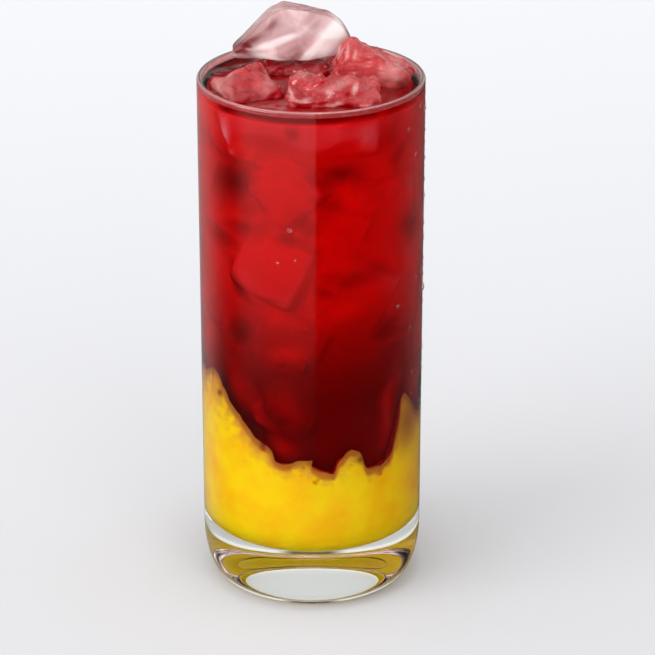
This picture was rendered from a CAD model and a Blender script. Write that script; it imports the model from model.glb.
import logging
import math
from dataclasses import dataclass
from enum import Enum

import bmesh
import bpy
import numpy as np
from mathutils import Euler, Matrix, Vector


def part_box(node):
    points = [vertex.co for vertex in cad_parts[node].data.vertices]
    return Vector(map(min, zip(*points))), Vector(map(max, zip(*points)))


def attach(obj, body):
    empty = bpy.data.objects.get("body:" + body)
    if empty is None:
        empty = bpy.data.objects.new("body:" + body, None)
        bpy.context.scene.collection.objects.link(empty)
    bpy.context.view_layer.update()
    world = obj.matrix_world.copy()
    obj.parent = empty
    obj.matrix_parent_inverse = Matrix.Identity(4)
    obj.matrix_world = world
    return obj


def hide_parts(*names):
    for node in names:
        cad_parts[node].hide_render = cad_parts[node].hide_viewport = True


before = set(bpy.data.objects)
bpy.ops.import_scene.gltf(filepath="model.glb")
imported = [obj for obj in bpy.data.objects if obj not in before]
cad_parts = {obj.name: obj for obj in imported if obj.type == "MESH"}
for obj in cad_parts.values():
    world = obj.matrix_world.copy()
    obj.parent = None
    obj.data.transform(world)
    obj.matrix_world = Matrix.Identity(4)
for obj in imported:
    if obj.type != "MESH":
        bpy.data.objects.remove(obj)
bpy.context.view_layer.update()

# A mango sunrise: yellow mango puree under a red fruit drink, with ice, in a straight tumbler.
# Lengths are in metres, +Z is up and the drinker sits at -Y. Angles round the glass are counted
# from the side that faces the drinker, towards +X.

LOG = logging.getLogger("mango_sunrise")
MM = 0.001


# Mesh helpers


def hex_to_linear(colour: str) -> tuple[float, float, float, float]:
    """Turn an sRGB hex colour into linear red, green, blue and an alpha of 1.

    Args:
        colour: six hex digits, with or without a leading hash.

    Returns:
        The linear colour, where each channel is undone with the sRGB curve.
    """
    digits = colour.lstrip("#")
    channels = [int(digits[i : i + 2], 16) / 255 for i in (0, 2, 4)]
    linear = [c / 12.92 if c <= 0.04045 else ((c + 0.055) / 1.055) ** 2.4 for c in channels]
    return (*linear, 1.0)


def smooth_step(values: np.ndarray, low: float, high: float) -> np.ndarray:
    """Rise from 0 at low to 1 at high along 3t^2 - 2t^3.

    Args:
        values: where the curve is read.
        low: the value that gives 0.
        high: the value that gives 1.

    Returns:
        The curve at each value.
    """
    share = np.clip((values - low) / (high - low), 0.0, 1.0)
    return share * share * (3.0 - 2.0 * share)


def wave_noise(points: np.ndarray, size: float, seed: int, waves: int = 20) -> np.ndarray:
    """Smooth noise with a spread near 1: plane waves of about one length, in random directions, added up.

    Args:
        points: an array whose last axis holds X, Y and Z in metres.
        size: the usual distance between two crests, in metres.
        seed: picks the directions and phases.
        waves: how many waves are added.

    Returns:
        One value for each point.
    """
    slowest, fastest = 0.65, 1.5  # how far a wave's number may lie from the usual one, as a share
    rng = np.random.default_rng(seed)
    directions = rng.normal(size=(waves, 3))
    directions /= np.linalg.norm(directions, axis=1, keepdims=True)
    numbers = 2 * np.pi / size * rng.uniform(slowest, fastest, size=(waves, 1))
    phases = rng.uniform(0, 2 * np.pi, size=waves)
    return np.sin(points @ (directions * numbers).T + phases).sum(axis=-1) / math.sqrt(waves / 2)


@dataclass(frozen=True)
class Waves:
    """One layer of wave noise: its strength, the usual length of its waves and their seed."""

    strength: float
    size: float
    seed: int


def layered_noise(points: np.ndarray, layers: tuple[Waves, ...]) -> np.ndarray:
    """The layers' noise at each point, each times its strength, added up."""
    return sum(layer.strength * wave_noise(points, layer.size, layer.seed) for layer in layers)


def angle_from(degrees: np.ndarray, angle: float) -> np.ndarray:
    """How far round each angle lies from the one given, from -180 to 180 degrees."""
    return (degrees - angle + 180.0) % 360.0 - 180.0


def superellipse(roundness: float, steps: int) -> tuple[np.ndarray, np.ndarray]:
    """Points on a quarter of the curve x^n + y^n = 1, from (1, 0) to (0, 1).

    Args:
        roundness: the power n, where 2 is a circle and more is squarer.
        steps: how many equal angles the quarter is cut into.

    Returns:
        The points' x and y as two arrays.
    """
    angles = np.linspace(0.0, 0.5 * np.pi, steps + 1)
    across = np.clip(np.cos(angles), 0.0, None) ** (2.0 / roundness)
    along = np.clip(np.sin(angles), 0.0, None) ** (2.0 / roundness)
    return across, along


def ring_turns(columns: int) -> np.ndarray:
    """The angle of each column round the glass, in radians from -Y towards +X."""
    return 2 * np.pi * np.arange(columns) / columns


def at_turn(
    radius: np.ndarray | float, turn: np.ndarray | float, height: np.ndarray | float
) -> np.ndarray:
    """Points at that radius, angle from -Y and height: (r sin t, -r cos t, z)."""
    radius, turn, height = np.broadcast_arrays(radius, turn, height)
    return np.stack((radius * np.sin(turn), -radius * np.cos(turn), height), axis=-1)


def close_rings(rings: np.ndarray, first: tuple, last: tuple) -> tuple[np.ndarray, list]:
    """Join rings of points with quads and close both ends with a fan to a pole.

    Args:
        rings: an array of rows by columns by 3, whose columns go round.
        first: the pole before the first ring.
        last: the pole after the last ring.

    Returns:
        The points and the faces.
    """
    rows, columns = rings.shape[:2]
    index = np.arange(rows * columns).reshape(rows, columns)
    along = np.roll(index, -1, axis=1)
    quads = np.stack((index[:-1], along[:-1], along[1:], index[1:]), axis=-1).reshape(-1, 4)
    poles = np.full(columns, rows * columns)
    start = np.stack((poles, along[0], index[0]), axis=-1)
    end = np.stack((poles + 1, index[-1], along[-1]), axis=-1)
    points = np.concatenate((rings.reshape(-1, 3), np.array([first, last], float)))
    return points, quads.tolist() + start.tolist() + end.tolist()


def revolve(profile: np.ndarray, columns: int) -> tuple[np.ndarray, list]:
    """Carry a profile round the Z axis, with its two ends on the axis as poles.

    Args:
        profile: radius and height of each point, in order.
        columns: how many times it is set down round the axis.

    Returns:
        The points and the faces.
    """
    inner = profile[1:-1]
    rings = at_turn(inner[:, :1], ring_turns(columns)[None, :], inner[:, 1:])
    return close_rings(rings, (0, 0, profile[0, 1]), (0, 0, profile[-1, 1]))


def point_out(mesh: bpy.types.Mesh, weld: float = 0.0) -> None:
    """Turn a mesh's faces outwards, and merge doubled points first where a distance is given.

    Args:
        mesh: the mesh.
        weld: how near each other two points are merged.
    """
    work = bmesh.new()
    work.from_mesh(mesh)
    if weld:
        bmesh.ops.remove_doubles(work, verts=work.verts, dist=weld)
    bmesh.ops.recalc_face_normals(work, faces=work.faces)
    work.to_mesh(mesh)
    work.free()


def add_piece(name: str, points: np.ndarray, faces: list, finish: bpy.types.Material) -> bpy.types.Object:
    """Make a closed, smooth, outward facing object at the origin.

    Args:
        name: the piece's name.
        points: its points in the row frame.
        faces: its faces as lists of point numbers.
        finish: its material.

    Returns:
        The new object, linked to the scene.
    """
    mesh = bpy.data.meshes.new(name)
    mesh.from_pydata(points.tolist(), [], faces)
    point_out(mesh)
    mesh.shade_smooth()
    mesh.materials.append(finish)
    obj = bpy.data.objects.new(name, mesh)
    bpy.context.scene.collection.objects.link(obj)
    return obj


def paint(obj: bpy.types.Object, name: str, values: np.ndarray) -> None:
    """Store one number for each point of a piece, for its material to read."""
    layer = obj.data.attributes.new(name, "FLOAT", "POINT")
    layer.data.foreach_set("value", values.astype(np.float32).ravel())


def finish_faces(obj: bpy.types.Object, finishes: list[bpy.types.Material], chosen: np.ndarray) -> None:
    """Give some of a piece's faces other finishes.

    Args:
        obj: the piece.
        finishes: the materials that follow the piece's own.
        chosen: for each face 0 for the piece's own finish, or the number of another, from 1.
    """
    for finish in finishes:
        obj.data.materials.append(finish)
    obj.data.polygons.foreach_set("material_index", chosen.astype(np.int32))


def face_centres(obj: bpy.types.Object) -> tuple[np.ndarray, np.ndarray]:
    """Where a piece's faces lie.

    Args:
        obj: the piece.

    Returns:
        Each face's centre, as its distance from the axis and its height.
    """
    centres = np.empty(3 * len(obj.data.polygons))
    obj.data.polygons.foreach_get("center", centres)
    across, along, height = centres.reshape(-1, 3).T
    return np.hypot(across, along), height


def point_angles(points: np.ndarray) -> np.ndarray:
    """Each point's angle round the glass, in radians from -Y towards +X."""
    return np.arctan2(points[:, 0], -points[:, 1])


def dress(obj: bpy.types.Object, slot: str, *nodes: str) -> bpy.types.Object:
    """Put a piece on the frame and report it.

    Args:
        obj: the piece.
        slot: the record's material slot that it takes its finish from.
        nodes: the CAD nodes that it stands for.

    Returns:
        The same piece.
    """
    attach(obj, "root")
    if nodes:
        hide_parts(*nodes)
    LOG.info("%s: %d faces, stands for %s", obj.name, len(obj.data.polygons), ", ".join(nodes) or "itself")
    return obj


# Finishes

WET_MIRROR = "#9c2424"  # the tint of what glass and drink mirror where they touch each other


def add_node(
    tree: bpy.types.NodeTree, kind: str, inputs: dict | None = None, **settings
) -> bpy.types.Node:
    """Add a node, set its options and sockets, and join the sockets that are given another node's output.

    Args:
        tree: the node tree.
        kind: the node's type.
        inputs: socket name or number to a value or an output socket.
        settings: the node's own options.

    Returns:
        The new node.
    """
    node = tree.nodes.new(kind)
    for option, value in settings.items():
        setattr(node, option, value)
    for socket, value in (inputs or {}).items():
        if isinstance(value, bpy.types.NodeSocket):
            tree.links.new(value, node.inputs[socket])
        else:
            node.inputs[socket].default_value = value
    return node


def new_tree(name: str) -> tuple[bpy.types.Material, bpy.types.NodeTree, bpy.types.NodeSocket]:
    """Start a material.

    Args:
        name: the material's name.

    Returns:
        The empty material, its node tree and the Object coordinates in it.
    """
    material = bpy.data.materials.new(name)
    material.use_nodes = True
    tree = material.node_tree
    tree.nodes.clear()
    place = add_node(tree, "ShaderNodeTexCoord").outputs["Object"]
    return material, tree, place


def put_out(
    tree: bpy.types.NodeTree, surface: bpy.types.Node, volume: bpy.types.Node | None = None
) -> None:
    """Join a shader, and a volume where there is one, to the material's output.

    Args:
        tree: the material's node tree.
        surface: the shader.
        volume: what fills the piece, if not nothing.
    """
    links = {"Surface": surface.outputs[0]}
    if volume is not None:
        links["Volume"] = volume.outputs[0]
    add_node(tree, "ShaderNodeOutputMaterial", links)


def lay_marks(
    tree: bpy.types.NodeTree, colour: bpy.types.NodeSocket | tuple, marks: dict[str, str]
) -> bpy.types.NodeSocket:
    """Lay painted marks over a colour, one after another, each as strong as its attribute says.

    Args:
        tree: the material's node tree.
        colour: the colour below, as a value or an output socket.
        marks: each attribute's name to the sRGB hex colour where it is 1.

    Returns:
        The output socket of the colour with its marks.
    """
    for name, tint in marks.items():
        share = add_node(tree, "ShaderNodeAttribute", attribute_name=name).outputs["Fac"]
        inputs = {0: share, 6: colour, 7: hex_to_linear(tint)}
        colour = add_node(tree, "ShaderNodeMix", inputs, data_type="RGBA").outputs[2]
    return colour


@dataclass(frozen=True)
class PressedGlass:
    """Soda-lime glass, pressed and fire polished: clear with the least green, and faintly wavy.

    The eye reads the waves in the highlights on the wall and in what is seen through the base.
    """

    colour: str = "#f7fbf8"
    ior: float = 1.5
    roughness: float = 0.004
    wave_size: float = 14 * MM
    wave_depth: float = 0.02 * MM

    def build(self, name: str = "pressed_soda_lime_glass", mirrors: str = "#ffffff") -> bpy.types.Material:
        """Make the material.

        Args:
            name: the material's name.
            mirrors: the tint of what it mirrors, dark for faces that the drink or the puree touches.

        Returns:
            The material.
        """
        material, tree, place = new_tree(name)
        noise = {"Vector": place, "Scale": 1 / self.wave_size, "Detail": 1.0}
        waves = add_node(tree, "ShaderNodeTexNoise", noise).outputs[0]
        relief = {"Height": waves, "Strength": 1.0, "Distance": self.wave_depth}
        bump = add_node(tree, "ShaderNodeBump", relief)
        look = {
            "Base Color": hex_to_linear(self.colour),
            "Roughness": self.roughness,
            "IOR": self.ior,
            "Transmission Weight": 1.0,
            "Specular Tint": hex_to_linear(mirrors),
            "Normal": bump.outputs[0],
        }
        put_out(tree, add_node(tree, "ShaderNodeBsdfPrincipled", look))
        return material


@dataclass(frozen=True)
class MistedGlass:
    """The cold lip above the drink, with a breath of condensed mist that makes it a light pinkish grey."""

    colour: str = "#dfb0ae"
    transmission: float = 0.8
    roughness: float = 0.16

    def build(self) -> bpy.types.Material:
        """Make the material.

        Returns:
            The material.
        """
        material, tree, _ = new_tree("misted_glass_lip")
        look = {
            "Base Color": hex_to_linear(self.colour),
            "Roughness": self.roughness,
            "IOR": 1.5,
            "Transmission Weight": self.transmission,
        }
        put_out(tree, add_node(tree, "ShaderNodeBsdfPrincipled", look))
        return material


@dataclass(frozen=True)
class DyedFilm:
    """The film of drink on the inside above the level, red low down and fainter round the back."""

    red: str = "#c81c26"
    clean: str = "#d8a09e"
    transmission: float = 0.5
    roughness: float = 0.12
    blot_size: float = 2.5 * MM
    unevenness: float = 0.4  # how far the blots move the share of clean glass, up or down
    front: float = -16 * MM  # the Y in front of which the film is full
    back: float = 4 * MM  # the Y behind which only its height thins it

    def build(self, low: float, high: float) -> bpy.types.Material:
        """Make the material.

        Args:
            low: the height where it is full.
            high: the height where it is gone.

        Returns:
            The material.
        """
        material, tree, place = new_tree("glass_with_film_of_drink")
        parts = add_node(tree, "ShaderNodeSeparateXYZ", {0: place})
        rise = {"Value": parts.outputs["Z"], "From Min": low, "From Max": high}
        above = add_node(tree, "ShaderNodeMapRange", rise).outputs[0]
        depth = {"Value": parts.outputs["Y"], "From Min": self.front, "From Max": self.back}
        behind = add_node(tree, "ShaderNodeMapRange", depth).outputs[0]
        share = add_node(tree, "ShaderNodeMath", {0: above, 1: behind}, operation="MULTIPLY").outputs[0]
        noise = {"Vector": place, "Scale": 1 / self.blot_size, "Detail": 2.0}
        blots = add_node(tree, "ShaderNodeTexNoise", noise).outputs[0]
        spread = {"Value": blots, "To Min": -self.unevenness, "To Max": self.unevenness}
        uneven = add_node(tree, "ShaderNodeMapRange", spread).outputs[0]
        both = add_node(tree, "ShaderNodeMath", {0: share, 1: uneven}, operation="ADD", use_clamp=True)
        tones = {0: both.outputs[0], 6: hex_to_linear(self.red), 7: hex_to_linear(self.clean)}
        colour = add_node(tree, "ShaderNodeMix", tones, data_type="RGBA")
        look = {
            "Base Color": colour.outputs[2],
            "Roughness": self.roughness,
            "IOR": 1.5,
            "Transmission Weight": self.transmission,
        }
        put_out(tree, add_node(tree, "ShaderNodeBsdfPrincipled", look))
        return material


@dataclass(frozen=True)
class FruitDrink:
    """Hibiscus and berry drink, clear but deeply dyed: only red light gets through centimetres of it."""

    ior: float = 1.34
    absorbs: tuple[float, float, float] = (7.0, 1500.0, 1350.0)  # per metre, for red, green and blue

    def build(self, wetting: bool = False) -> bpy.types.Material:
        """Make the material. The dye is a plain volume absorption, whose colour is 1 minus each share.

        Args:
            wetting: true for the faces that touch the glass, where the light bends but hardly mirrors.

        Returns:
            The material.
        """
        material, tree, _ = new_tree("red_fruit_drink_at_wall" if wetting else "red_fruit_drink")
        density = max(self.absorbs) * 1.02  # a little more, so that no share comes out as 0
        passes = [1 - amount / density for amount in self.absorbs]
        look = {
            "Base Color": (1.0, 1.0, 1.0, 1.0),
            "Roughness": 0.0,
            "IOR": self.ior,
            "Transmission Weight": 1.0,
            "Specular Tint": hex_to_linear(WET_MIRROR if wetting else "#ffffff"),
        }
        dye = {"Color": (*passes, 1.0), "Density": density}
        surface = add_node(tree, "ShaderNodeBsdfPrincipled", look)
        put_out(tree, surface, add_node(tree, "ShaderNodeVolumeAbsorption", dye))
        return material


@dataclass(frozen=True)
class MangoPulp:
    """Blended mango: opaque, wet and deep yellow, with a soft glow, browner where the drink dyes it."""

    ripe: str = "#ffd600"
    deep: str = "#fbb600"
    stained: str = "#d68c38"
    speck: str = "#7a3410"
    settled: str = "#a98a54"  # the dull underside, which the thick base shows
    cloud_size: float = 9 * MM
    pulp_size: float = 1.1 * MM
    pulp_depth: float = 0.12 * MM

    def build(self) -> bpy.types.Material:
        """Make the material, which reads three painted marks.

        The fringe is 1 where the drink stains the puree, speck in its flecks and under on its underside.

        Returns:
            The material.
        """
        material, tree, place = new_tree("blended_mango_pulp")
        noise = {"Vector": place, "Scale": 1 / self.cloud_size, "Detail": 4.0}
        clouds = add_node(tree, "ShaderNodeTexNoise", noise).outputs[0]
        spread = {"Value": clouds, "From Min": 0.4, "From Max": 0.7, "To Max": 0.8}
        tone = add_node(tree, "ShaderNodeMapRange", spread).outputs[0]
        tones = {0: tone, 6: hex_to_linear(self.ripe), 7: hex_to_linear(self.deep)}
        yellow = add_node(tree, "ShaderNodeMix", tones, data_type="RGBA").outputs[2]
        grain = {"Vector": place, "Scale": 1 / self.pulp_size, "Detail": 3.0}
        pulp = add_node(tree, "ShaderNodeTexNoise", grain).outputs[0]
        relief = {"Height": pulp, "Strength": 0.6, "Distance": self.pulp_depth}
        bump = add_node(tree, "ShaderNodeBump", relief)
        marks = {"fringe": self.stained, "speck": self.speck, "under": self.settled}
        look = {
            "Base Color": lay_marks(tree, yellow, marks),
            "Roughness": 0.4,
            "IOR": 1.36,
            "Specular IOR Level": 0.2,
            "Subsurface Weight": 0.5,
            "Subsurface Radius": (1.0, 0.4, 0.05),
            "Subsurface Scale": 3.5 * MM,
            "Normal": bump.outputs[0],
        }
        put_out(tree, add_node(tree, "ShaderNodeBsdfPrincipled", look))
        return material


class Clarity(Enum):
    """How a piece of ice looks above the drink: dry and cloudy, or wet with it and red."""

    CLOUDY = "cloudy"
    WET = "wet"


@dataclass(frozen=True)
class Ice:
    """Freezer ice, melted smooth: clear with cloudy places, and dyed pink where the drink wets it."""

    name: str
    clear: str
    cloud: str
    transmission: float
    roughness: float
    cloud_size: float = 8 * MM
    dent_size: float = 3.5 * MM
    dent_depth: float = 0.35 * MM
    stained: str = "#6e0c18"
    frosted: str = "#fffaf8"

    def build(self) -> bpy.types.Material:
        """Make the material, which reads the painted marks stain and frost.

        Returns:
            The material.
        """
        material, tree, place = new_tree(self.name)
        noise = {"Vector": place, "Scale": 1 / self.cloud_size, "Detail": 5.0, "Distortion": 0.8}
        clouds = add_node(tree, "ShaderNodeTexNoise", noise).outputs[0]
        spread = {"Value": clouds, "From Min": 0.44, "From Max": 0.7}
        tone = add_node(tree, "ShaderNodeMapRange", spread).outputs[0]
        tones = {0: tone, 6: hex_to_linear(self.clear), 7: hex_to_linear(self.cloud)}
        colour = add_node(tree, "ShaderNodeMix", tones, data_type="RGBA").outputs[2]
        unevenness = {"Vector": place, "Scale": 1 / self.dent_size, "Detail": 2.0}
        dents = add_node(tree, "ShaderNodeTexNoise", unevenness).outputs[0]
        relief = {"Height": dents, "Strength": 0.7, "Distance": self.dent_depth}
        bump = add_node(tree, "ShaderNodeBump", relief)
        marks = {"stain": self.stained, "frost": self.frosted}
        look = {
            "Base Color": lay_marks(tree, colour, marks),
            "Roughness": self.roughness,
            "IOR": 1.31,
            "Transmission Weight": self.transmission,
            "Normal": bump.outputs[0],
        }
        put_out(tree, add_node(tree, "ShaderNodeBsdfPrincipled", look))
        return material


ICE_FINISHES = {
    Clarity.CLOUDY: Ice(
        "cloudy_melting_ice",
        clear="#c29697",
        cloud="#e6cac9",
        transmission=0.58,
        roughness=0.12,
        dent_size=7 * MM,
        dent_depth=0.12 * MM,
    ),
    Clarity.WET: Ice(
        "wet_red_ice",
        clear="#cc1422",
        cloud="#f46064",
        transmission=0.70,
        roughness=0.04,
        dent_size=2.8 * MM,
        dent_depth=0.5 * MM,
        frosted="#ffb8b4",
    ),
}


@dataclass(frozen=True)
class SunkenFinish:
    """Ice under the dyed drink: pale and matt, as the drink dyes it to the eye, and dusky low down."""

    pale: str = "#fff6f6"
    dusky: str = "#702c32"

    def build(self) -> bpy.types.Material:
        """Make the material, which reads the painted mark gloom.

        Returns:
            The material.
        """
        material, tree, _ = new_tree("sunken_ice")
        colour = lay_marks(tree, hex_to_linear(self.pale), {"gloom": self.dusky})
        look = {"Base Color": colour, "Roughness": 0.6, "Specular IOR Level": 0.0}
        put_out(tree, add_node(tree, "ShaderNodeBsdfPrincipled", look))
        return material


@dataclass(frozen=True)
class Dew:
    """Water that has condensed on the cold wall: clear beads that catch the light."""

    def build(self) -> bpy.types.Material:
        """Make the material.

        Returns:
            The material.
        """
        material, tree, _ = new_tree("condensed_water")
        look = {"Base Color": (1, 1, 1, 1), "Roughness": 0.0, "IOR": 1.33, "Transmission Weight": 1.0}
        put_out(tree, add_node(tree, "ShaderNodeBsdfPrincipled", look))
        return material


# The tumbler


@dataclass(frozen=True)
class Tumbler:
    """The straight tumbler with its thick base, worked out from the frame and the sizes of its section."""

    height: float
    rim_radius: float
    heel_radius: float = 31.6 * MM
    foot_radius: float = 25.5 * MM
    heel_height: float = 16 * MM
    heel_roundness: float = 2.0
    rim_wall: float = 1.5 * MM
    low_wall: float = 2.2 * MM
    punt_radius: float = 17 * MM
    punt_depth: float = 0.5 * MM
    punt_flatness: float = 8.0
    floor_height: float = 14 * MM
    floor_corner: float = 12.5 * MM
    floor_roundness: float = 2.7
    wet_margin: float = 0.5 * MM  # how far over the drink's level the faces that it wets end
    film_free: float = 0.8  # what of the rim's wall, from outside, has no film of drink
    lip_share: float = 0.18  # the height of the misted lip, as a share of the rim's wall
    dome_steps: int = 18
    curve_steps: int = 28
    side_steps: int = 26
    rim_steps: int = 15
    columns: int = 256

    def share_up(self, height: np.ndarray) -> np.ndarray:
        """How far up the straight side a height is, from 0 at the heel to 1 at the rim."""
        return np.clip((height - self.heel_height) / (self.height - self.heel_height), 0.0, 1.0)

    def outer_radius(self, height: np.ndarray) -> np.ndarray:
        """The outside's radius, which widens evenly from heel to rim."""
        return self.heel_radius + (self.rim_radius - self.heel_radius) * self.share_up(height)

    def inner_radius(self, height: np.ndarray) -> np.ndarray:
        """The inside's radius: the outside less a wall that thins evenly towards the rim."""
        wall = self.low_wall + (self.rim_wall - self.low_wall) * self.share_up(height)
        return self.outer_radius(height) - wall

    def floor_top(self) -> float:
        """The height where the rounded floor meets the straight inner side."""
        return self.floor_height + self.floor_corner

    def cavity_floor(self, reach: float, steps: int) -> np.ndarray:
        """The inner floor's section, a superellipse from the axis out and up to the side.

        Args:
            reach: how far it is moved out into the glass.
            steps: how many steps the curve has.

        Returns:
            Radius and height of each point.
        """
        across, along = superellipse(self.floor_roundness, steps)
        radius = (self.inner_radius(self.floor_top()) + reach) * across[::-1]
        height = self.floor_top() - (self.floor_corner + reach) * along[::-1]
        return np.stack((radius, height), axis=-1)

    def profile(self, wet_height: float) -> np.ndarray:
        """The section: hollow foot, heel, side, round lip, inner side and floor.

        Args:
            wet_height: a height up the inner side where one of its points lies.

        Returns:
            Radius and height of each point, from the axis below to the axis inside.
        """
        share = np.linspace(0.0, 1.0, self.dome_steps) ** 0.6
        dome_height = self.punt_depth * (1 - share**self.punt_flatness)
        dome = np.stack((self.punt_radius * share, dome_height), axis=-1)
        across, along = superellipse(self.heel_roundness, self.curve_steps)
        heel_radius = self.foot_radius + (self.heel_radius - self.foot_radius) * across[::-1]
        heel = np.stack((heel_radius, self.heel_height * (1 - along[::-1])), axis=-1)
        heights = np.linspace(self.heel_height, self.height - self.rim_wall, self.side_steps)[1:-1]
        side = np.stack((self.outer_radius(heights), heights), axis=-1)
        lip = 0.5 * self.rim_wall
        turn = np.linspace(0.0, np.pi, self.rim_steps)
        rim_across = self.rim_radius - lip + lip * np.cos(turn)
        rim = np.stack((rim_across, self.height - lip + lip * np.sin(turn)), axis=-1)
        down = np.linspace(wet_height, self.floor_top(), self.side_steps)[:-1]
        inside = np.stack((self.inner_radius(down), down), axis=-1)
        floor = self.cavity_floor(0.0, self.curve_steps)[::-1]
        return np.concatenate((dome, heel, side, rim, inside, floor))

    def build(self, puree_level: float, drink_level: float) -> bpy.types.Object:
        """Turn the section into the tumbler, wet its inside up to the drink's level, and dress it.

        Args:
            puree_level: the height up to which the puree touches the glass.
            drink_level: the height up to which the drink does.

        Returns:
            The tumbler.
        """
        wet_height = drink_level + self.wet_margin
        points, faces = revolve(self.profile(wet_height), self.columns)
        piece = add_piece("pressed_tumbler", points, faces, PressedGlass().build())
        radius, height = face_centres(piece)
        slack = 0.5 * MM  # more than a face's centre strays from the smooth section
        inside = (radius < self.inner_radius(height) + slack) & (height > self.floor_height - 2 * slack)
        wet = inside & (height < drink_level)
        film = inside & ~wet & (radius < self.rim_radius - self.film_free * self.rim_wall)
        lip = (height > self.height - self.lip_share * self.rim_wall) & ~film
        others = [
            PressedGlass().build("glass_wetted_by_drink", WET_MIRROR),
            MistedGlass().build(),
            DyedFilm().build(drink_level, self.height),
            PressedGlass().build("glass_wetted_by_puree", "#000000"),
        ]
        finish_faces(piece, others, wet + 2 * lip + 3 * film + 3 * (wet & (height < puree_level)))
        return dress(piece, "glass_tumbler", "glass_tumbler")


# What the tumbler holds

WALL_RADIUS = 30.0  # mm, a round value for the inside of the wall, where angles are turned into widths


@dataclass(frozen=True)
class WallMark:
    """A soft slanted patch, placed by angle and height as it shows through the wall, in degrees and mm."""

    angle: float
    height: float
    long: float
    short: float
    slant: float  # degrees up from level, along which it is long
    strength: float

    def cover(self, turn: np.ndarray, height: np.ndarray) -> np.ndarray:
        """How strongly it marks each place: strength exp(-(a / long)^2 - (b / short)^2).

        Args:
            turn: angles from -Y, in radians.
            height: heights in metres.

        Returns:
            The mark at each place.
        """
        across = np.radians(angle_from(np.degrees(turn), self.angle)) * WALL_RADIUS
        up = height / MM - self.height
        slant = math.radians(self.slant)
        along = across * math.cos(slant) + up * math.sin(slant)
        aside = up * math.cos(slant) - across * math.sin(slant)
        return self.strength * np.exp(-((along / self.long) ** 2) - (aside / self.short) ** 2)


def strongest(marks: tuple[WallMark, ...], turn: np.ndarray, height: np.ndarray) -> np.ndarray:
    """The strongest mark at each place."""
    return np.maximum.reduce([mark.cover(turn, height) for mark in marks])


@dataclass(frozen=True)
class Tongue:
    """A tongue of puree that clings to the wall, with its rise in metres and the rest in degrees."""

    angle: float
    rise: float
    width: float
    lean: float  # how far its tip is shifted round


TONGUES = (
    Tongue(-66, 0.0255, 15.5, 2),
    Tongue(-84, 0.0120, 8, 0),
    Tongue(-43, 0.0125, 14, 2),
    Tongue(-26, 0.0048, 7, 3),
    Tongue(-7, 0.0050, 9, 4),
    Tongue(19, 0.0052, 5, 0),
    Tongue(25.5, 0.0050, 4.5, 2),
    Tongue(61, 0.0185, 9, -3),
    Tongue(79, 0.0085, 12, 4),
    Tongue(112, 0.0140, 18, -5),
    Tongue(150, 0.0060, 11, 8),
    Tongue(186, 0.0175, 15, 4),
    Tongue(222, 0.0070, 12, -8),
    Tongue(258, 0.0160, 16, 6),
)

# Brown flecks of stained pulp, and last a bubble
FLECKS = (
    WallMark(-57.5, 62.6, 1.5, 1.1, 30, 1.0),
    WallMark(-52.5, 65.9, 1.2, 0.8, 50, 1.0),
    WallMark(-64.3, 68.0, 3.5, 0.5, 85, 0.6),
    WallMark(-58.5, 69.5, 1.8, 0.5, 80, 0.5),
    WallMark(-26.5, 51.2, 1.6, 1.0, 60, 0.8),
    WallMark(27.0, 46.5, 1.6, 1.2, 30, 0.75),
    WallMark(31.5, 45.3, 1.8, 1.1, -20, 0.7),
    WallMark(36.0, 46.5, 1.4, 1.4, 0, 0.6),
    WallMark(41.7, 45.6, 1.2, 1.8, 0, 0.8),
    WallMark(52.5, 46.6, 1.4, 0.6, 80, 0.6),
    WallMark(64, 53, 7, 9, 0, 0.6),
    WallMark(-27.4, 25.6, 1.7, 0.6, 0, 0.5),
)

# Where the red drink has soaked into the puree and browned it
STAINS = (
    WallMark(63, 54, 8, 10, 0, 0.95),
    WallMark(48, 47, 9, 2.6, 25, 0.6),
    WallMark(-63, 66, 4.5, 5, 0, 0.55),
    WallMark(-20, 47.2, 7, 1.4, -14, 0.5),
    WallMark(82, 36, 14, 18, 0, 0.3),
)


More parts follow.
